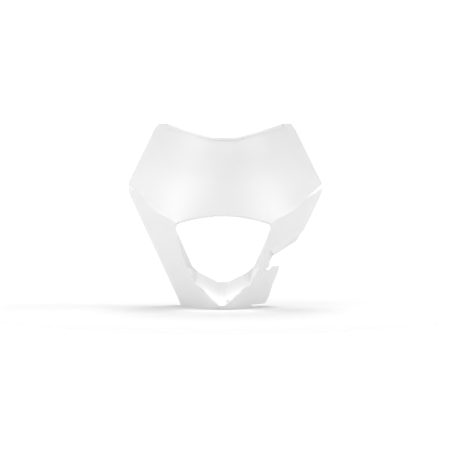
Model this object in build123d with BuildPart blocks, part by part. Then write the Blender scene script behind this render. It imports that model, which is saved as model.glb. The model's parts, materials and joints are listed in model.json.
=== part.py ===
"""Motorcycle headlight mask: one moulded shell with a leaning forehead, two raked cheeks, a dished lens
bezel, an open hose notch in one cheek, and lips, ribs, bosses and strap pegs moulded on its back.

Millimetres. X runs to the viewer's right, Y to the back, Z up. The shell stands on its lower edge at Z 0.
It is drawn with Y 0 at the nose, and moved at the end so that the origin lies under the middle of its box.
"""

import os
from math import hypot, sqrt

from build123d import *

# The moulding
wall = 2.8
lip_depth = 10.0
rib_thickness = 2.2
crease_radius = 2.5
strip_radius = 4.0
crest_radius = 0.8

# The working bodies reach past the shell on every side
span = 158.0
back = 170.0

# Half of the outline seen from the front
crown_half = 18.0
crown_height = 253.5
peak_inner = 88.0
peak_outer = 100.5
peak_height = 274.5
ear_half = 147.5
ear_top = 185.0
ear_bottom = 171.0
foot_half = 64.5

# The raised rim along the crown, wider by the peaks
crown_rim_peak = 6.5
crown_rim_middle = 3.2
crown_rim_height = 0.9

# The forehead: depth of its front at each height, on the centre line, beside it, over the lens corner,
# over the wing and at the far side
forehead_levels = [
    (95.0, (9.0, 11.0, 18.0, 43.0, 90.0)),
    (130.0, (24.0, 26.0, 32.0, 59.0, 100.0)),
    (150.0, (32.0, 35.0, 47.0, 68.0, 104.0)),
    (172.0, (40.0, 44.5, 60.0, 75.0, 107.0)),
    (200.0, (50.0, 55.0, 69.0, 82.0, 111.0)),
    (232.0, (59.5, 64.0, 76.5, 88.5, 114.5)),
    (290.0, (72.0, 75.0, 86.5, 96.5, 118.0)),
]
forehead_stations = (0.0, 30.0, 67.0, 105.0, span)

# The cheeks: two raked walls that meet in a round nose
cheek_start = -9.6
cheek_sweep = 1.1736
cheek_rake = -0.3217
cheek_crown = 1.2
nose_radius = 22.0

# The border strip down each side of the forehead, a flat that leans back more
strip_point = (90.0, 89.5, 265.0)
strip_slope_x = 0.78
strip_slope_z = 0.3746

# The bezel dish: depth, half width and height of its floor, then its two lower corners and its top corner
dish_top = 108.0
dish_stations = [
    (-60.0, (5.0, -11.5), (46.0, 28.0), (64.0, 60.0), 75.0),
    (0.0, (5.0, 6.5), (44.0, 35.5), (60.0, 62.0), 72.0),
    (14.0, (4.5, 10.7), (43.0, 34.8), (59.5, 62.0), 70.5),
    (27.0, (4.5, 16.5), (41.5, 36.0), (58.0, 62.0), 69.0),
    (35.0, (5.0, 27.0), (39.5, 44.0), (53.5, 59.5), 67.4),
    (42.0, (6.0, 52.0), (35.0, 60.0), (44.5, 68.0), 65.8),
]

# The lens opening, drawn at one depth and cut on a downward slant
lens_depth = 36.0
lens_slant = 0.35
lens_arch = 136.6
lens_corner = (71.5, 124.5)
lens_side = (70.5, 116.0)
lens_lower = (46.5, 63.0)
lens_turn = (37.0, 54.5)
lens_bottom = (8.2, 40.0)
lens_corner_radius = 5.0
lens_lower_radius = 6.0
rim_wall = 2.6

# The hose notch in the cheek on the viewer's right
notch = [
    (124.0, 118.0),
    (114.5, 107.0),
    (109.0, 97.0),
    (96.0, 89.5),
    (80.0, 80.0),
    (74.0, 77.5),
    (69.2, 68.0),
    (68.4, 60.1),
    (61.2, 56.9),
    (67.6, 54.0),
    (73.4, 60.7),
    (83.6, 60.0),
    (79.9, 47.4),
    (73.9, 33.2),
    (67.2, 12.2),
    (61.4, 4.3),
    (42.5, 4.3),
    (40.0, -3.0),
    (120.0, -3.0),
    (150.0, 100.0),
]

# The flared lip over the notch: its line at the notch's edge, its width and how far it stands out
flare_line = ((76.0, 78.3), (114.0, 106.8))
flare_width = 9.5
flare_height = 5.0

# The slits under the ears, wider on the viewer's right
right_slit = [(150.0, 185.0), (127.0, 164.5), (126.0, 162.5), (150.0, 178.0)]
left_slit = [(-152.0, 184.5), (-136.0, 171.0), (-135.6, 170.0), (-152.0, 181.5)]

# The lens unit's screw bosses
boss_radius = 5.0
pilot_radius = 2.1
pilot_depth = 12.0
upper_boss = (86.0, 116.0)
lower_boss = (60.0, 42.0)
upper_boss_end = 70.0
lower_boss_end = 62.0

# The rubber straps' pegs
peg_radius = 3.5
peg_head_radius = 6.0
peg_head_height = 2.5
peg_length = 14.0
upper_peg = (118.0, 150.0)
lower_peg = (62.0, 22.0)

# The lower tab with the adjuster's hole
tab_half = 14.0
tab_end = 80.0
tab_thickness = 3.0
tab_hole_radius = 3.2
tab_hole_back = 10.0

# The ribs on the forehead's back
rib_half = 46.0
rib_low = 150.0
rib_high = 236.0

# The drain in the dish's floor
drain_radius = 1.75
drain_at = (8.0, 14.0)


def inward(points, depth):
    """Moves each point of a front curve square to the curve, into the body."""
    moved = []
    for i, (x, y) in enumerate(points):
        x0, y0 = points[max(i - 1, 0)]
        x1, y1 = points[min(i + 1, len(points) - 1)]
        run = hypot(x1 - x0, y1 - y0)
        moved.append((x - depth * (y1 - y0) / run, y + depth * (x1 - x0) / run))
    return moved


def forehead_body(depth):
    """Everything behind the forehead's front, moved into the body by depth."""
    far = back + 2 * depth
    with BuildPart() as body:
        for level, ys in forehead_levels:
            half = list(zip(forehead_stations, ys))
            points = [(-x, y) for x, y in half[:0:-1]] + half
            points = inward(points, 0.9 * depth)
            with BuildSketch(Plane.XY.offset(level - 0.6 * depth)):
                with BuildLine():
                    front = Spline(*points)
                    Polyline(front @ 1, (points[-1][0], far), (points[0][0], far), front @ 0)
                make_face()
        loft()
        floor = forehead_levels[0][0] - 0.6 * depth
        with Locations((0, far / 2, floor)):
            Box(2 * span, far + 200, 200, align=(Align.CENTER, Align.CENTER, Align.MAX))
    return body.part


def cheek_body(depth):
    """Everything behind the two cheeks and the nose between them, moved into the body by depth."""
    shift = depth * sqrt(1 + cheek_sweep**2 + cheek_rake**2)
    slant = hypot(cheek_sweep, 1)
    far = back + 4 * depth
    with BuildPart() as body:
        for level in (-30.0, peak_height + 10):
            start = cheek_start + cheek_rake * level + shift
            end = start + cheek_sweep * span
            bulge = (span / 2 + cheek_crown * cheek_sweep / slant, (start + end) / 2 - cheek_crown / slant)
            with BuildSketch(Plane.XY.offset(level)) as plan:
                with BuildLine():
                    ThreePointArc((0, start), bulge, (span, end))
                    ThreePointArc((0, start), (-bulge[0], bulge[1]), (-span, end))
                    Polyline((span, end), (span, far + 60), (-span, far + 60), (-span, end))
                make_face()
                tip = plan.vertices().sort_by(Axis.Y)[0]
                fillet(tip, nose_radius - depth)
        loft(ruled=True)
    return body.part


def dish_body(depth):
    """The space that the bezel dish leaves in front of the lens, grown by depth."""
    with BuildPart() as body:
        for y, floor, low, high, top in dish_stations:
            half = [floor, low, high, (top, dish_top)]
            points = [(-x, z) for x, z in half[::-1]] + half
            with BuildSketch(Plane.XZ.offset(-(y + 0.9 * depth))):
                with BuildLine():
                    Polyline(*points, close=True)
                make_face()
                if depth:
                    offset(amount=0.9 * depth, kind=Kind.INTERSECTION)
        loft()
    return body.part


def strip_planes(depth):
    """The two planes of the border strips, moved into the body by depth."""
    x, y, z = strip_point
    planes = []
    for side in (-1, 1):
        facing = Vector(side * strip_slope_x, -1, strip_slope_z).normalized()
        planes.append(Plane(origin=Vector(side * x, y, z) - facing * depth, z_dir=facing))
    return planes


def full_body(depth):
    """The whole front as a solid reaching back, moved into the body by depth."""
    with BuildPart() as body:
        add(forehead_body(depth))
        add(cheek_body(depth), mode=Mode.INTERSECT)
        with Locations(*strip_planes(depth)):
            Box(600, 600, 200, align=(Align.CENTER, Align.CENTER, Align.MIN), mode=Mode.SUBTRACT)
        add(dish_body(depth), mode=Mode.SUBTRACT)
    return body.part


def outline_points():
    """The half outline from the crown to the foot, mirrored."""
    half = [
        (crown_half, crown_height),
        ((crown_half + peak_inner) / 2, (crown_height + peak_height) / 2 - 1.5),
        (peak_inner, peak_height),
        (peak_outer, peak_height),
        (peak_outer + 6.5, peak_height - 8.5),
        (peak_outer + 18.5, peak_height - 33.0),
        (peak_outer + 34.0, peak_height - 64.5),
        (ear_half, ear_top),
        (ear_half, ear_bottom),
        (ear_half - 3.0, ear_bottom - 8.0),
        (foot_half, 0.0),
    ]
    return [(-x, z) for x, z in half[::-1]] + half


def lens_prism(grow):
    """The lens opening's slanted prism, grown by grow."""
    reach = 110
    half = [lens_corner, lens_side, lens_lower, lens_turn, lens_bottom]
    with BuildPart() as body:
        with BuildSketch(Plane.XZ.offset(reach - lens_depth)) as sketch:
            with BuildLine():
                lift = lens_slant * reach
                points = [(x, z + lift) for x, z in half]
                Polyline(*points, *[(-x, z) for x, z in points[::-1]])
                (x, z) = points[0]
                ThreePointArc((-x, z), (0, lens_arch + lift), (x, z))
            make_face()
            if grow:
                offset(amount=grow, kind=Kind.INTERSECTION)
            fillet(sketch.vertices().sort_by(Axis.Y)[-2:], lens_corner_radius + grow)
            fillet(sketch.vertices().sort_by(Axis.Y)[2:6], lens_lower_radius + grow)
        extrude(amount=2 * reach, dir=(0, 1, -lens_slant))
    return body.part


def cheek_depth(x, z):
    """The cheek's front at a place seen from the front."""
    return cheek_start + cheek_sweep * abs(x) + cheek_rake * z - cheek_crown


def softened(body):
    """The front with its ridges, the strips' folds and the dish's crest rounded."""
    (sx, sy, sz), row = strip_point, dish_stations[3]
    folds = [(sx + 16, sy + 16 * strip_slope_x - 37 * strip_slope_z, sz - 37)]
    middle = ((lens_corner[0] + ear_half) / 2, (lens_corner[1] + ear_top) / 2 - 8)
    ridges = [middle, (ear_half - 1.5, ear_top - 3)]
    corners = [row[1], row[2], row[3], (row[4], dish_top)]
    crests = [((a + c) / 2, (b + d) / 2) for (a, b), (c, d) in zip(corners, corners[1:])]
    solid = body.solid()
    for radius, places in (
        (strip_radius, folds),
        (crease_radius, [(x, cheek_depth(x, z), z) for x, z in ridges]),
        (crest_radius, [(x, cheek_depth(x, z), z) for x, z in crests]),
    ):
        marks = [Vertex(side * x, y, z) for x, y, z in places for side in (-1, 1)]
        edges = solid.edges()
        solid = solid.fillet(radius, [min(edges, key=mark.distance_to) for mark in marks])
    return solid


outer = softened(full_body(0))
inner = full_body(wall)

with BuildPart() as thin_skin:
    add(outer)
    add(inner, mode=Mode.SUBTRACT)

# A skin as deep as the lips, for what is moulded along the back
with BuildPart() as deep_skin:
    add(outer)
    add(Pos(0, lip_depth, 0) * outer, mode=Mode.SUBTRACT)

# The lips round the wings and the foot, the rim round the lens opening, and the forehead's ribs
with BuildPart() as stiffening:
    with BuildSketch(Plane.XZ):
        with BuildLine():
            Polyline(*outline_points(), close=True)
        make_face()
        with BuildLine():
            Polyline(*notch, close=True)
        make_face(mode=Mode.SUBTRACT)
        offset(amount=-wall, mode=Mode.SUBTRACT, kind=Kind.INTERSECTION)
    extrude(amount=-back)
    with Locations((0, 0, ear_top - 9)):
        Box(700, 700, 200, align=(Align.CENTER, Align.CENTER, Align.MIN), mode=Mode.SUBTRACT)
    for side in (-1, 1):
        with Locations((side * rib_half, back / 2, rib_low)):
            Box(rib_thickness, back, rib_high - rib_low, align=(Align.CENTER, Align.CENTER, Align.MIN))
    add(lens_prism(rim_wall))
    add(deep_skin.part, mode=Mode.INTERSECT)

# The raised rim along the crown
with BuildPart() as crown_rim:
    with BuildSketch(Plane.XZ):
        with BuildLine():
            low_peak = (peak_inner, peak_height - crown_rim_peak)
            low_middle = (crown_half, crown_height - crown_rim_middle)
            Polyline(
                (-peak_inner, back),
                (-low_peak[0], low_peak[1]),
                (-low_middle[0], low_middle[1]),
                low_middle,
                low_peak,
                (peak_inner, 2 * back),
                (-peak_inner, 2 * back),
                close=True,
            )
        make_face()
    extrude(amount=-back)
    add(Pos(0, -crown_rim_height, 0) * thin_skin.part, mode=Mode.INTERSECT)

# The flared lip over the notch
(ax, az), (bx, bz) = flare_line
flare_run = hypot(bx - ax, bz - az)
up_x, up_z = -(bz - az) / flare_run, (bx - ax) / flare_run
flare_band = [
    (ax, az),
    (ax + flare_width * up_x, az + flare_width * up_z),
    (bx + flare_width * up_x, bz + flare_width * up_z),
    (bx, bz),
]
flare_ramp = flare_height / flare_width
flare_facing = Vector(cheek_sweep + flare_ramp * up_x, -1, cheek_rake + flare_ramp * up_z).normalized()
hinge_x, hinge_z = (flare_band[1][0] + flare_band[2][0]) / 2, (flare_band[1][1] + flare_band[2][1]) / 2
flare_hinge = Vector(hinge_x, cheek_depth(hinge_x, hinge_z) - 0.3, hinge_z)
with BuildPart() as flare:
    with BuildSketch(Plane.XZ):
        with BuildLine():
            Polyline(*flare_band, close=True)
        make_face()
    extrude(amount=-back)
    with Locations(Plane(origin=flare_hinge, z_dir=flare_facing)):
        Box(200, 200, wall, align=(Align.CENTER, Align.CENTER, Align.MAX), mode=Mode.INTERSECT)

# The screw bosses, the strap pegs and the lower tab, ending at the outer face
with BuildPart() as fixings:
    for side in (-1, 1):
        for (x, z), end in ((upper_boss, upper_boss_end), (lower_boss, lower_boss_end)):
            with Locations(Plane(origin=(side * x, end, z), z_dir=(0, -1, 0))):
                Cylinder(boss_radius, 60, align=(Align.CENTER, Align.CENTER, Align.MIN))
        for x, z in (upper_peg, lower_peg):
            root = cheek_start + cheek_sweep * x + cheek_rake * z + wall
            with Locations(Plane(origin=(side * x, root + peg_length, z), z_dir=(0, -1, 0))):
                Cylinder(peg_radius, 60, align=(Align.CENTER, Align.CENTER, Align.MIN))
                Cylinder(peg_head_radius, peg_head_height, align=(Align.CENTER, Align.CENTER, Align.MIN))
    with Locations((0, tab_end, 0)):
        Box(2 * tab_half, tab_end, tab_thickness, align=(Align.CENTER, Align.MAX, Align.MIN))
    add(outer, mode=Mode.INTERSECT)

with BuildPart() as headlight_mask:
    add(thin_skin.part)
    add(crown_rim.part)
    with BuildSketch(Plane.XZ):
        with BuildLine():
            Polyline(*outline_points(), close=True)
        make_face()
        with BuildLine():
            Polyline(*notch, close=True)
        make_face(mode=Mode.SUBTRACT)
    extrude(amount=-back, mode=Mode.INTERSECT)
    with BuildSketch(Plane.XZ):
        with BuildLine():
            Polyline(*flare_band, close=True)
        make_face()
    extrude(amount=-back, mode=Mode.SUBTRACT)
    add(flare.part)
    add(stiffening.part)
    add(fixings.part)
    add(lens_prism(0), mode=Mode.SUBTRACT)
    for slit in (right_slit, left_slit):
        with BuildSketch(Plane.XZ):
            with BuildLine():
                Polyline(*slit, close=True)
            make_face()
        extrude(amount=-back, mode=Mode.SUBTRACT)
    for side in (-1, 1):
        for (x, z), end in ((upper_boss, upper_boss_end), (lower_boss, lower_boss_end)):
            with Locations(Plane(origin=(side * x, end, z), z_dir=(0, -1, 0))):
                Cylinder(
                    pilot_radius,
                    pilot_depth,
                    align=(Align.CENTER, Align.CENTER, Align.MIN),
                    mode=Mode.SUBTRACT,
                )
    with Locations((0, tab_end - tab_hole_back, 0)):
        Cylinder(tab_hole_radius, 2 * tab_thickness, mode=Mode.SUBTRACT)
    with Locations((*drain_at, tab_thickness + 1)):
        Cylinder(
            drain_radius, 20, align=(Align.CENTER, Align.CENTER, Align.MIN), mode=Mode.SUBTRACT
        )

# The origin goes under the middle of the mask's box
box = headlight_mask.part.bounding_box()
mask = Pos(-box.center().X, -box.center().Y, -box.min.Z) * headlight_mask.part
mask.label = "headlight_mask"

os.makedirs("parts", exist_ok=True)
export_step(mask, "parts/headlight_mask.step")
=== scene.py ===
"""Motorcycle headlight mask in white moulded plastic, standing on a pale studio floor.

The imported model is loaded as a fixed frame, in metres: X to the viewer's right, Y to the back, Z up.
The shell is reshaped in millimetres, with depth 0 at its nose. A place on it is x and z, as seen from
the front.
"""

import json
from math import cos, radians, sin

import bpy
import numpy as np
from bpy.props import FloatProperty, FloatVectorProperty, PointerProperty
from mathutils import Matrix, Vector
from mathutils.bvhtree import BVHTree

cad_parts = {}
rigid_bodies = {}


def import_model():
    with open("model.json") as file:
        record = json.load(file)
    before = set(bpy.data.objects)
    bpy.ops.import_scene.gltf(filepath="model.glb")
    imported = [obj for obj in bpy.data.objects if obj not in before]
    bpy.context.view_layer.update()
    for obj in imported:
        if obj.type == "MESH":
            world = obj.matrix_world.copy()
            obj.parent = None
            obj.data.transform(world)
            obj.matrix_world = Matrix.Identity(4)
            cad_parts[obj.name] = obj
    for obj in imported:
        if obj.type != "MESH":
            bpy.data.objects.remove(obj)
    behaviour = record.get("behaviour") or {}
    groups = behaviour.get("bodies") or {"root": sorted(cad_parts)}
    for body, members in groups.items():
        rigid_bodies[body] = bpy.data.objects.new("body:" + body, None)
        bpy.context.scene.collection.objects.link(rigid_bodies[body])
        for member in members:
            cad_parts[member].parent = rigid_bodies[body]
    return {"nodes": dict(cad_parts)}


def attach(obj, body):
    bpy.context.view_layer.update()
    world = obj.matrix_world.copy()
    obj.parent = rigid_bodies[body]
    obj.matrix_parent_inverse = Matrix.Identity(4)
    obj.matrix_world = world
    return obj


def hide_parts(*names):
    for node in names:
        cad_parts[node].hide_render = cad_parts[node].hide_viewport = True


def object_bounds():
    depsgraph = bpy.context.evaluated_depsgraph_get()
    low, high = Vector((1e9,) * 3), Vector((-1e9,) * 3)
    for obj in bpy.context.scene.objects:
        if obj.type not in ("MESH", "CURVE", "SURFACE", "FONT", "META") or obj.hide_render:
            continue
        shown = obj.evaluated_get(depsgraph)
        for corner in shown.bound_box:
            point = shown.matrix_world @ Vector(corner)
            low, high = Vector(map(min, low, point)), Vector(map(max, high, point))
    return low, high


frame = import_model()
for leftover in [o for o in bpy.context.scene.objects if o.name in ("Cube", "Light", "Camera")]:
    bpy.data.objects.remove(leftover)

bl_info = {
    "name": "Headlight Mask",
    "version": (1, 0, 0),
    "blender": (4, 5, 0),
    "location": "3D View > Sidebar > Mask",
    "description": "Dresses a motorcycle headlight mask and sets up its studio",
    "category": "Object",
}

SHELL = "headlight_mask"
box_at_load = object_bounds()

# Millimetres in a metre, to how many digits points must agree to be one, and where the nose is along Y
MM = 1000
WELD_DIGITS = 4
NOSE = round(box_at_load[0][1] * MM, WELD_DIGITS)

# The forehead, fitted to the photograph's shading and then changed: at each height, the depth of
# its front on the centre line, beside it, over the lens's corner, over the wing and at the far side
FOREHEAD = (
    (95.0, (9.0, 11.2, 18.2, 43.0, 90.0)),
    (130.0, (26.5, 27.9, 31.4, 61.0, 100.2)),
    (150.0, (33.4, 36.0, 43.2, 67.9, 103.9)),
    (172.0, (39.8, 44.8, 56.4, 74.2, 106.1)),
    (200.0, (47.2, 54.0, 70.4, 82.4, 110.5)),
    (232.0, (53.8, 59.0, 78.8, 90.0, 114.0)),
    (290.0, (71.8, 74.6, 85.4, 95.8, 118.1)),
)
STATIONS = (0.0, 30.0, 67.0, 105.0, 158.0)

# The border strips' fold: where it runs at two heights, how much it turns the front, and how soft it is
FOLD_LINE = ((188.0, 117.0), (265.0, 89.7))
FOLD_TURN = -0.1
FOLD_SOFTNESS = 2.5

# The ridge between the forehead and the cheeks: the lens's corner, where it starts, how steeply it rises
# outward, and the band above it in which the forehead takes its new depth
RIDGE_FOOT = (71.5, 124.5)
RIDGE_RISE = 0.783
RIDGE_FADE = 4.0

# The crown's edge from its notch to its corner, and the rim under it. Past the corner the front is felt a
# little lower and further in
TOP_EDGE = ((18.0, 53.0, 88.0), (253.5, 262.5, 274.5))
RIM_BAND = 8.0
SIDE_LOWER = 0.5
SIDE_INWARD = 0.993

# The bowl under the lens, from the centre line outward: where its crest and its upper edge run, and their
# depths. The upper edge's depths are listed, and the others follow the imported front
BOWL_AT = (0.0, 5.0, 8.0, 12.0, 16.0, 20.0, 28.0, 36.0, 40.0, 48.0)
BOWL_CREST = (6.5, 6.8, 9.3, 12.6, 15.7, 18.7, 25.0, 31.0, 34.3, 40.5)
BOWL_CREST_DEPTH = (0.0, 0.0, 0.5, 1.5, 4.1, 7.3, 14.5, 21.8, 25.5, 32.8)
BOWL_EDGE = (38.8, 38.8, 39.0, 40.8, 43.1, 45.3, 49.5, 53.7, 55.6, 60.0)
BOWL_EDGE_DEPTH = (21.0, 21.0, 21.1, 21.5, 22.4, 23.7, 27.2, 31.6, 34.1, 39.0)

# How much the bowl's wall is hollowed, how far past its upper edge it goes on, where its crest and its
# ends fade, the heights that it lies between, and a depth behind all of it
BOWL_HOLLOW = 0.35
BOWL_PAST_EDGE = 1.1
BOWL_START = (-0.3, 1.8)
BOWL_HALF = (34.0, 47.0)
BOWL_BOTTOM = 3.0
BOWL_TOP = 70.0
BOWL_DEEPEST = 40.0

# How far the bowl's wall may leave its solid
BOWL_REACH = 14.0

# Rays: where they start, which way they go, how squarely the front that they meet must face them, and
# where else one that misses goes, inward and upward. The last is the step of their heights in the bowl
RAY_START = -200.0
BACKWARD = Vector((0, 1, 0))
SQUARE_ON = 0.6
NEARBY = ((0, 0), (0, 1.5), (0, 3), (0, 5), (2, 0), (4, 0), (3, 3))
COLUMN_STEP = 0.5

# The longest edges of the dressed mesh on the forehead and in the bowl, how far below each they already
# count, and the most rounds of splitting
FOREHEAD_MESH = 4.0
FOREHEAD_MARGIN = 4.0
BOWL_MESH = 2.5
BOWL_MARGIN = 3.0
ROUNDS = 7

# How a triangle with no, one, two or three cut edges is divided. 0, 1 and 2 are its corners, and 3, 4 and
# 5 the middles of the edges that follow them
SPLITS = (
    ((0, 1, 2),),
    ((0, 3, 2), (3, 1, 2)),
    ((3, 1, 4), (0, 3, 4), (0, 4, 2)),
    ((0, 3, 5), (3, 1, 4), (4, 2, 5), (3, 4, 5)),
)

# Normals: the step that slopes are taken over, how alike a corner and the front must face to count as one,
# how much of a corner must face forward, and how near the front a point of the bowl's wall is
SLOPE_STEP = 0.4
ALIKE = 0.88
GRAZING = 0.12
WALL_REACH = 4.0

# A small number against division by 0
TINY = 1e-9

# The moulded surface: its refraction, how much its roughness varies, and the grain of that
PLASTIC_IOR = 1.5
ROUGHNESS_SPREAD = 0.08
GRAIN = {"Scale": 45.0, "Detail": 3.0}

# The photograph is square. Half of its side in pixels, what one pixel spans at the mask, and the point of
# the mask that stands in its middle
HALF_SIDE = 225
PIXEL = 0.0015
AIM = Vector((0.00225, -0.009, 0.1229))

# The camera: the width of its sensor in millimetres, and how far it sees
SENSOR = 36
VIEW_END = 200

# Each lamp: where it stands as an azimuth, an elevation and a distance, its width and height, and its
# power, which is fitted to the photograph's shading
LAMPS = {
    "overhead": (0, 86, 2.6, 2.2, 2.2, 19.2),
    "left_high": (-65, 45, 3.0, 1.6, 1.6, 22.5),
    "right_high": (65, 45, 3.0, 1.6, 1.6, 1.5),
    "left_far": (-100, 40, 3.0, 1.6, 1.6, 12.0),
    "right_far": (100, 40, 3.0, 1.6, 1.6, 34.0),
    "behind": (180, 58, 2.6, 1.0, 1.0, 33.0),
}

# How high the bright backdrop starts to fade and ends, as the sine of its elevation
BACKDROP_FADE = (0.1, 0.2)

# The floor's radius, and how many sides its outline has
FLOOR_RADIUS = 0.4
FLOOR_SIDES = 96


def smooth(value, start, end):
    """Rises from 0 at start to 1 at end without a corner."""
    t = np.clip((value - start) / (end - start), 0, 1)
    return t * t * (3 - 2 * t)


def unit(vectors):
    """The vectors at length 1."""
    return vectors / np.linalg.norm(vectors, axis=-1, keepdims=True)


def spline(stations, values, at):
    """A natural cubic spline through values, which have a row for each station, at the places at."""
    n = len(stations)
    stations = np.asarray(stations)
    step = np.diff(stations)
    left, right = np.eye(n), np.zeros((n, n))
    for i in range(1, n - 1):
        left[i, i - 1 : i + 2] = step[i - 1], 2 * (step[i - 1] + step[i]), step[i]
        right[i, i - 1 : i + 2] = 6 / step[i - 1], -6 / step[i - 1] - 6 / step[i], 6 / step[i]
    bend = np.linalg.solve(left, right) @ values
    i = np.clip(np.searchsorted(stations, at) - 1, 0, n - 2)
    k = np.arange(len(at))
    width = stations[i + 1] - stations[i]
    b = (at - stations[i]) / width
    a = 1 - b
    bent = (a**3 - a) * bend[i, k] + (b**3 - b) * bend[i + 1, k]
    return a * values[i, k] + b * values[i + 1, k] + bent * width**2 / 6


def mirrored(stations, values, x):
    """The spline through values at stations right of the centre line, and the same ones left of it."""
    both = [-s for s in stations[:0:-1]] + list(stations)
    column = np.array(values[:0:-1] + values)[:, None]
    return spline(both, np.tile(column, len(x)), x)


def forehead(x, z):
    """Depth of the forehead's front."""
    rows = [mirrored(STATIONS, depths, x) for _, depths in FOREHEAD]
    depth = spline([height for height, _ in FOREHEAD], np.array(rows), z)
    (low, far), (high, near) = FOLD_LINE
    past = np.abs(x) - (far + (near - far) * (z - low) / (high - low))
    hinge = (past + np.sqrt(past**2 + FOLD_SOFTNESS**2)) / 2
    return depth + FOLD_TURN * smooth(z, low, (low + high) / 2) * hinge


def above_ridge(x, z):
    """1 on the forehead, 0 on the cheeks."""
    foot, height = RIDGE_FOOT
    return smooth(z - height - np.maximum(np.abs(x) - foot, 0) * RIDGE_RISE, 0, RIDGE_FADE)


def bowl(x, z):
    """Depth of the bowl's wall, and 1 on the bowl and 0 off it."""
    lines = (BOWL_CREST, BOWL_CREST_DEPTH, BOWL_EDGE, BOWL_EDGE_DEPTH)
    reach = np.clip(x, -BOWL_AT[-1], BOWL_AT[-1])
    low, near, high, far = (mirrored(BOWL_AT, line, reach) for line in lines)
    part = np.clip((z - low) / (high - low), 0, BOWL_PAST_EDGE)
    weight = smooth(z - low, *BOWL_START) * (1 - smooth(np.abs(x), *BOWL_HALF)) * (z < BOWL_TOP)
    return near + (far - near) * part * (1 + BOWL_HOLLOW * (1 - part)), weight


def slopes_of(surface, x, z):
    """A surface's slopes sideways and upward."""
    across = surface(x + SLOPE_STEP, z) - surface(x - SLOPE_STEP, z)
    up = surface(x, z + SLOPE_STEP) - surface(x, z - SLOPE_STEP)
    return across / (2 * SLOPE_STEP), up / (2 * SLOPE_STEP)


def facing_of(across, up):
    """The direction that a front with these slopes faces."""
    return unit(np.stack([across, np.full(len(across), -1.0), up], axis=1))


class PackedFront:
    """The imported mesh's front, felt by rays."""

    def __init__(self, points, faces):
        self.tree = BVHTree.FromPolygons(points.tolist(), faces.tolist())

    def met(self, x, z):
        """The point that a ray meets, and which way the mesh faces there. None and None where it misses."""
        return self.tree.ray_cast(Vector((x, RAY_START, z)), BACKWARD)[:2]

    def __call__(self, x, z):
        """Depth, and slope sideways and upward. They are not numbers where every ray nearby misses."""
        crown = np.abs(x) < TOP_EDGE[0][-1]
        under_rim = np.interp(np.abs(x), *TOP_EDGE) - RIM_BAND
        below = np.where(crown, np.minimum(z, under_rim), z - SIDE_LOWER)
        within = np.where(crown, x, x * SIDE_INWARD)
        found = np.full((3, len(x)), np.nan)
        for inward, higher in NEARBY:
            for i in np.flatnonzero(np.isnan(found[0])):
                u, v = within[i] - np.sign(x[i]) * inward, below[i] + higher
                point, facing = self.met(u, v)
                if point is not None and facing.y < -SQUARE_ON:
                    across, up = -facing.x / facing.y, -facing.z / facing.y
                    found[:, i] = point.y + across * (x[i] - u) + up * (z[i] - v), across, up
        return found

    def column(self, x, z):
        """Depth in the bowl. Where a ray misses, it lies between the depths above and below."""
        heights = np.arange(BOWL_BOTTOM, BOWL_TOP, COLUMN_STEP)
        widths = np.arange(-BOWL_HALF[1], BOWL_HALF[1] + 1)
        table = np.zeros((len(widths), len(heights)))
        for row, u in zip(table, widths):
            points = [self.met(u, v)[0] for v in heights]
            pairs = [(v, point.y) for v, point in zip(heights, points) if point is not None]
            seen = [(v, depth) for v, depth in pairs if depth < BOWL_DEEPEST]
            row[:] = np.interp(heights, *zip(*seen))
        i = np.clip((x - widths[0]).astype(int), 0, len(widths) - 2)
        j = np.clip(((z - heights[0]) / COLUMN_STEP).astype(int), 0, len(heights) - 2)
        a, b = x - widths[i], (z - heights[j]) / COLUMN_STEP
        inner = table[i, j] * (1 - b) + table[i, j + 1] * b
        outer = table[i + 1, j] * (1 - b) + table[i + 1, j + 1] * b
        return inner * (1 - a) + outer * a


def welded(node):
    """A node's points, its triangles, and the normals of their corners."""
    source = node.data
    source.calc_loop_triangles()
    place = np.array([node.matrix_world @ v.co for v in source.vertices]) * MM
    triangles = np.array([t.vertices[:] for t in source.loop_triangles])
    loops = np.array([t.loops[:] for t in source.loop_triangles])
    facing = np.array([c.vector[:] for c in source.corner_normals])[loops]
    points, index = np.unique(place.round(WELD_DIGITS), axis=0, return_inverse=True)
    points[:, 1] -= NOSE
    faces = index.reshape(-1)[triangles]
    whole = (faces != np.roll(faces, 1, axis=1)).all(axis=1)
    return points, faces[whole], facing[whole]


def longest_edge(x, z):
    """The longest edge that the dressed mesh keeps."""
    limit = np.where(above_ridge(x, z + FOREHEAD_MARGIN) > 0, FOREHEAD_MESH, np.inf)
    return np.where(bowl(x, z + BOWL_MARGIN)[1] > 0, BOWL_MESH, limit)


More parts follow.
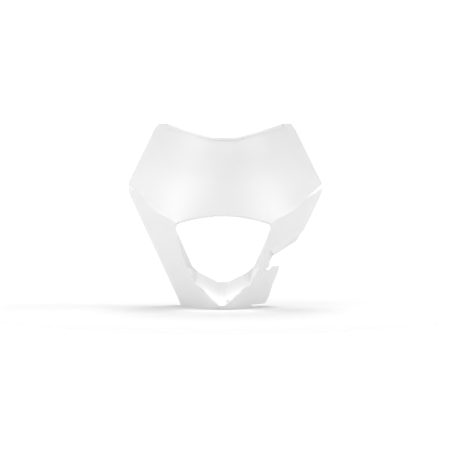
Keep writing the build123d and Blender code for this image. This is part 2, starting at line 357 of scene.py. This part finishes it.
def refined(points, faces, facing):
    """Splits the long edges on the forehead and in the bowl, round after round."""
    for _ in range(ROUNDS):
        ends = faces[:, [0, 1, 1, 2, 2, 0]].reshape(-1, 2)
        pairs, edge = np.unique(np.sort(ends, axis=1), axis=0, return_inverse=True)
        a, b = points[pairs[:, 0]], points[pairs[:, 1]]
        middle = (a + b) / 2
        long = np.linalg.norm(a - b, axis=1) > longest_edge(middle[:, 0], middle[:, 2])
        if not long.any():
            break
        made = np.full(len(pairs), -1)
        made[long] = len(points) + np.arange(long.sum())
        points = np.vstack([points, middle[long]])

        # Each triangle is turned until its cut edges come first
        cut = made[edge].reshape(-1, 3)
        count = (cut >= 0).sum(axis=1)
        turn = np.where(count == 1, (cut >= 0).argmax(axis=1), 0)
        turn = np.where(count == 2, (cut < 0).argmax(axis=1) + 1, turn)
        order = (np.arange(3) + turn[:, None]) % 3
        corners = np.take_along_axis(faces, order, 1)
        cut = np.take_along_axis(cut, order, 1)
        facing = np.take_along_axis(facing, order[:, :, None], 1)
        halfway = unit(facing + np.roll(facing, -1, axis=1))

        corners = np.hstack([corners, cut])
        facing = np.concatenate([facing, halfway], axis=1)
        chosen = [(count == n, split) for n, splits in enumerate(SPLITS) for split in splits]
        faces = np.vstack([corners[same][:, split] for same, split in chosen])
        facing = np.vstack([facing[same][:, split] for same, split in chosen])
    return points, faces, facing


def lean(x, z, packed):
    """How far back the forehead's wall goes."""
    weight = above_ridge(x, z)
    near = weight > 0
    apart = forehead(x[near], z[near]) - packed(x[near], z[near])[0]
    moved = np.zeros(len(x))
    moved[near] = np.nan_to_num(weight[near] * apart)
    return moved


def with_forehead(points, faces, facing, packed):
    """How far back each point goes, and the normals after that. Both faces of the wall go equally far."""
    x, _, z = points.T
    weight = above_ridge(x, z)
    near = weight > 0
    before, after = np.zeros((2, len(points), 2))
    before[near] = np.nan_to_num(packed(x[near], z[near])[1:].T)
    after[near] = np.array(slopes_of(forehead, x[near], z[near])).T
    before, after = facing_of(*before.T), facing_of(*after.T)
    across, up = slopes_of(lambda x, z: lean(x, z, packed), x, z)
    bend = np.stack([across, np.zeros(len(points)), up], axis=1)
    turned = unit(facing - facing[:, :, 1:2] * bend[faces])
    alike = (facing * before[faces]).sum(axis=2)
    share = (weight[faces] * (np.abs(alike) > ALIKE))[:, :, None]
    turned = unit(turned * (1 - share) + after[faces] * np.sign(alike)[:, :, None] * share)
    return lean(x, z, packed), turned


def with_bowl(points, faces, facing, packed, moved, turned):
    """The same with the bowl's wall at its new depth. What is behind its front goes equally far."""
    x, y, z = points.T
    wall, weight = bowl(x, z)
    column = packed.column(x, z)
    outward = np.zeros((len(points), 3))
    np.add.at(outward, faces.reshape(-1), facing.reshape(-1, 3))
    front = (unit(outward + TINY)[:, 1] < -GRAZING) & (np.abs(y - column) < WALL_REACH)
    apart = (wall - np.where(front, y, column)) / BOWL_REACH
    moved = np.where(weight > 0, weight * BOWL_REACH * np.tanh(apart), moved)
    after = facing_of(*slopes_of(lambda x, z: bowl(x, z)[0], x, z))[faces]
    share = (weight * front * (1 - np.tanh(apart) ** 2))[faces][:, :, None]
    forward = facing / np.maximum(-facing[:, :, 1:2], GRAZING)
    mixed = unit(forward * (1 - share) + after / -after[:, :, 1:2] * share)
    on_wall = (weight * front > 0)[faces][:, :, None] & (facing[:, :, 1:2] < -GRAZING)
    return moved, np.where(on_wall, mixed, turned)


def dressed_mesh(node):
    """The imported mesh, with its forehead and bowl moved to where the photograph's shading puts them."""
    points, faces, facing = welded(node)
    packed = PackedFront(points, faces)
    points, faces, facing = refined(points, faces, facing)
    moved, turned = with_forehead(points, faces, facing, packed)
    moved, turned = with_bowl(points, faces, facing, packed, moved, turned)
    points[:, 1] = np.maximum(points[:, 1] + moved, 0) + NOSE
    mesh = bpy.data.meshes.new("mask_shell")
    mesh.from_pydata((points / MM).tolist(), [], faces.tolist())
    mesh.polygons.foreach_set("use_smooth", np.ones(len(faces), bool))
    mesh.normals_split_custom_set(turned.reshape(-1, 3).tolist())
    return mesh


class Socket:
    """A shader socket that can be used in sums."""

    def __init__(self, graph, socket):
        self.graph = graph
        self.socket = socket

    def _math(self, operation, *values):
        return self.graph.node("ShaderNodeMath", {"operation": operation}, dict(enumerate(values)))

    def __add__(self, other):
        return self._math("ADD", self, other)

    __radd__ = __add__

    def __mul__(self, other):
        return self._math("MULTIPLY", self, other)

    __rmul__ = __mul__


class Graph:
    """The nodes of a material or a world, and the shader that they feed."""

    def __init__(self, owner, shader):
        owner.use_nodes = True
        self.owner = owner
        self.tree = owner.node_tree
        self.shader = self.tree.nodes[shader]

    def node(self, kind, settings, values, output=0):
        """Adds a node: its settings first, then its sockets' values or links."""
        made = self.tree.nodes.new(kind)
        for key, value in settings.items():
            setattr(made, key, value)
        for key, value in values.items():
            self.feed(made.inputs[key], value)
        return Socket(self, made.outputs[output])

    def feed(self, target, value):
        """Gives a socket a value or a link."""
        if isinstance(value, Socket):
            self.tree.links.new(value.socket, target)
        else:
            target.default_value = value

    def shade(self, values):
        """Feeds the shader's sockets."""
        for name, value in values.items():
            self.feed(self.shader.inputs[name], value)


class MaskLooks(bpy.types.PropertyGroup):
    """The plastic's colour and shine."""

    plastic: FloatVectorProperty(
        name="Plastic",
        description="Colour of the moulded plastic",
        subtype="COLOR",
        size=3,
        min=0.0,
        max=1.0,
        default=(0.80, 0.80, 0.80),
    )
    roughness: FloatProperty(
        name="Roughness",
        description="Roughness of the moulded surface",
        min=0.0,
        max=1.0,
        default=0.45,
    )


class StudioSetup(bpy.types.PropertyGroup):
    """Where the camera stands, and how bright the room is."""

    azimuth: FloatProperty(
        name="Azimuth",
        description="Angle of the camera round the mask, in degrees",
        default=2.5,
    )
    elevation: FloatProperty(
        name="Elevation",
        description="Angle of the camera above the horizon, in degrees",
        default=3.0,
    )
    distance: FloatProperty(
        name="Distance",
        description="Distance of the camera from the mask",
        unit="LENGTH",
        default=3.0,
    )
    room: FloatProperty(
        name="Room",
        description="Brightness of the room above",
        min=0.0,
        default=0.59,
    )
    backdrop: FloatProperty(
        name="Backdrop",
        description="Brightness of the room's walls near the floor",
        min=0.0,
        default=1.05,
    )
    floor: FloatProperty(
        name="Floor",
        description="Whiteness of the floor",
        min=0.0,
        max=1.0,
        default=0.62,
    )


def white_plastic(looks):
    """Satin moulded plastic, whose roughness varies a little."""
    graph = Graph(bpy.data.materials.new("white_plastic"), "Principled BSDF")
    place = graph.node("ShaderNodeTexCoord", {}, {}, "Object")
    grain = graph.node("ShaderNodeTexNoise", {}, {"Vector": place, **GRAIN})
    smoothest = looks.roughness - ROUGHNESS_SPREAD / 2
    graph.shade({
        "Base Color": (*looks.plastic, 1.0),
        "Roughness": grain * ROUGHNESS_SPREAD + smoothest,
        "IOR": PLASTIC_IOR,
    })
    return graph.owner


def stand_in_room(name, data, azimuth, elevation, distance):
    """Puts a lamp or camera where it looks at the mask. Azimuth 0 is in front, 90 on the viewer's right."""
    a, e = radians(azimuth), radians(elevation)
    way = Vector((sin(a) * cos(e), -cos(a) * cos(e), sin(e)))
    holder = bpy.data.objects.new(name, data)
    holder.location = AIM + way * distance
    holder.rotation_euler = way.to_track_quat("Z", "Y").to_euler()
    bpy.context.scene.collection.objects.link(holder)
    return holder


def lay_floor(studio):
    """A round white floor, so small that it ends before its far parts look grey."""
    bpy.ops.mesh.primitive_circle_add(vertices=FLOOR_SIDES, radius=FLOOR_RADIUS, fill_type="NGON")
    floor = bpy.context.object
    floor.name = "floor"
    graph = Graph(bpy.data.materials.new("floor_white"), "Principled BSDF")
    white = (studio.floor, studio.floor, studio.floor, 1.0)
    graph.shade({"Base Color": white, "Roughness": 1.0, "Specular IOR Level": 0.0})
    floor.data.materials.append(graph.owner)


def hang_lamps():
    """The soft lamps, which the camera doesn't see."""
    for name, (azimuth, elevation, distance, width, height, power) in LAMPS.items():
        lamp = bpy.data.lights.new(name, "AREA")
        lamp.shape = "RECTANGLE"
        lamp.size = width
        lamp.size_y = height
        lamp.energy = power
        stand_in_room(name, lamp, azimuth, elevation, distance).visible_camera = False


def light_room(studio):
    """A room that is white up to a little above the horizon, and dimmer above that."""
    graph = Graph(bpy.data.worlds.new("room"), "Background")
    place = graph.node("ShaderNodeTexCoord", {}, {}, "Generated")
    height = graph.node("ShaderNodeSeparateXYZ", {}, {0: place}, "Z")
    names = ("From Min", "From Max", "To Min", "To Max")
    levels = zip(names, (*BACKDROP_FADE, studio.backdrop, studio.room))
    fade = graph.node("ShaderNodeMapRange", {}, {"Value": height, **dict(levels)})
    graph.shade({"Color": (1, 1, 1, 1), "Strength": fade})
    bpy.context.scene.world = graph.owner


def set_camera(studio):
    """The photograph's view."""
    camera = bpy.data.cameras.new("camera")
    camera.sensor_width = SENSOR
    camera.lens = SENSOR / 2 * studio.distance / (HALF_SIDE * PIXEL)
    camera.clip_end = VIEW_END
    holder = stand_in_room("camera", camera, studio.azimuth, studio.elevation, studio.distance)
    bpy.context.scene.camera = holder


class MASK_OT_shell(bpy.types.Operator):
    """Dress the moulded shell in white plastic"""

    bl_idname = "headlight_mask.shell"
    bl_label = "Shell"

    def execute(self, context):
        shell = bpy.data.objects.new("mask_shell", dressed_mesh(frame["nodes"][SHELL]))
        context.scene.collection.objects.link(shell)
        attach(shell, "root")
        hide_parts(SHELL)
        shell.data.materials.append(white_plastic(context.scene.mask_looks))
        return {"FINISHED"}


class MASK_OT_studio(bpy.types.Operator):
    """Build the floor, the lamps, the room and the camera"""

    bl_idname = "headlight_mask.studio"
    bl_label = "Studio"

    def execute(self, context):
        studio = context.scene.mask_studio
        lay_floor(studio)
        hang_lamps()
        light_room(studio)
        context.scene.view_settings.view_transform = "Standard"
        set_camera(studio)
        return {"FINISHED"}


class MASK_PT_panel(bpy.types.Panel):
    """The sidebar's list of steps and settings"""

    bl_idname = "MASK_PT_panel"
    bl_label = "Headlight Mask"
    bl_space_type = "VIEW_3D"
    bl_region_type = "UI"
    bl_category = "Mask"

    def draw(self, context):
        looks = context.scene.mask_looks
        studio = context.scene.mask_studio
        self.layout.operator(MASK_OT_shell.bl_idname)
        self.layout.prop(looks, "plastic")
        self.layout.prop(looks, "roughness")
        self.layout.operator(MASK_OT_studio.bl_idname)
        for name in ("azimuth", "elevation", "distance", "room", "backdrop", "floor"):
            self.layout.prop(studio, name)


CLASSES = (MaskLooks, StudioSetup, MASK_OT_shell, MASK_OT_studio, MASK_PT_panel)


def register():
    for made in CLASSES:
        bpy.utils.register_class(made)
    bpy.types.Scene.mask_looks = PointerProperty(type=MaskLooks)
    bpy.types.Scene.mask_studio = PointerProperty(type=StudioSetup)


def unregister():
    del bpy.types.Scene.mask_studio
    del bpy.types.Scene.mask_looks
    for made in reversed(CLASSES):
        bpy.utils.unregister_class(made)


def main():
    register()
    bpy.ops.headlight_mask.shell()
    bpy.ops.headlight_mask.studio()


if __name__ == "__main__":
    main()
